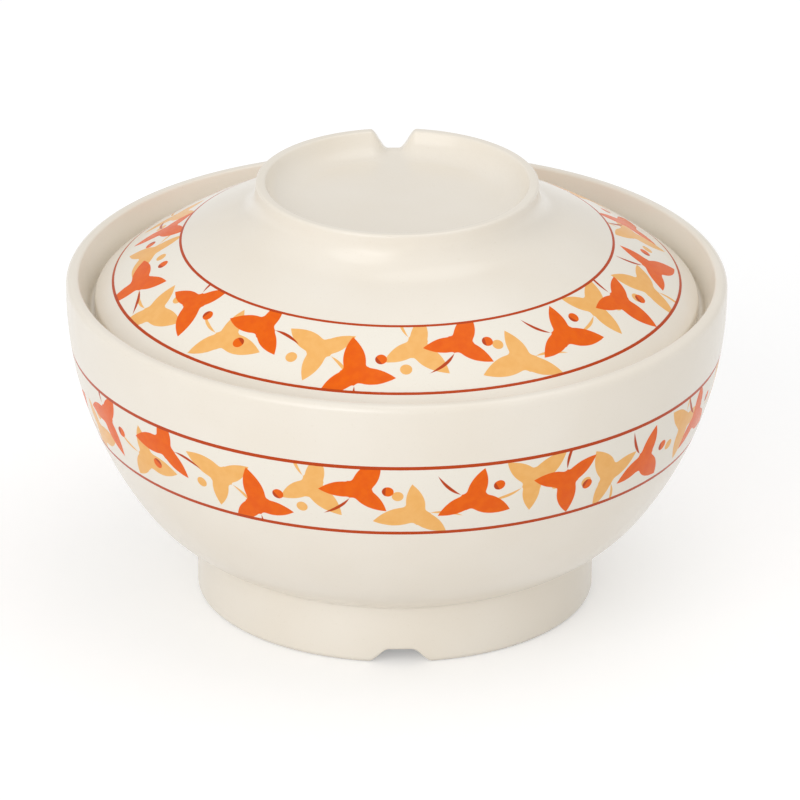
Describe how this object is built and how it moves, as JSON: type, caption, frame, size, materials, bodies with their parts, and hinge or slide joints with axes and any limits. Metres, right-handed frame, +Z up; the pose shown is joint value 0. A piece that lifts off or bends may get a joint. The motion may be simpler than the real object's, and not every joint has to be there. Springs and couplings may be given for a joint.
{
  "type": "donburi bowl with lid",
  "caption": "Round footed rice bowl in cream melamine with a drop-in domed lid; the lid's ring knob is a grip and turns the lid into a small plate, and printed leaf bands circle bowl and lid.",
  "frame": {"origin": "centre of the foot ring, on the surface that the bowl stands on", "axes": "+Z up along the axis of the bowl, -Y towards the drain notch of the foot, +Y towards the drain notch of the knob ring"},
  "size_m": [0.155, 0.155, 0.1026],
  "materials": {
    "melamine": "compression-moulded melamine, soft gloss",
    "printed_foil": "printed melamine foil, orange leaves on cream, soft gloss"
  },
  "bodies": {
    "bowl": {"bowl": "melamine", "bowl_foil": "printed_foil"},
    "lid": {"lid": "melamine", "lid_foil": "printed_foil"}
  },
  "joints": [
    {"name": "lid_lift", "type": "slide", "parent": "bowl", "child": "lid", "axis": [0, 0, 1], "range_m": [0, 0.03]}
  ]
}
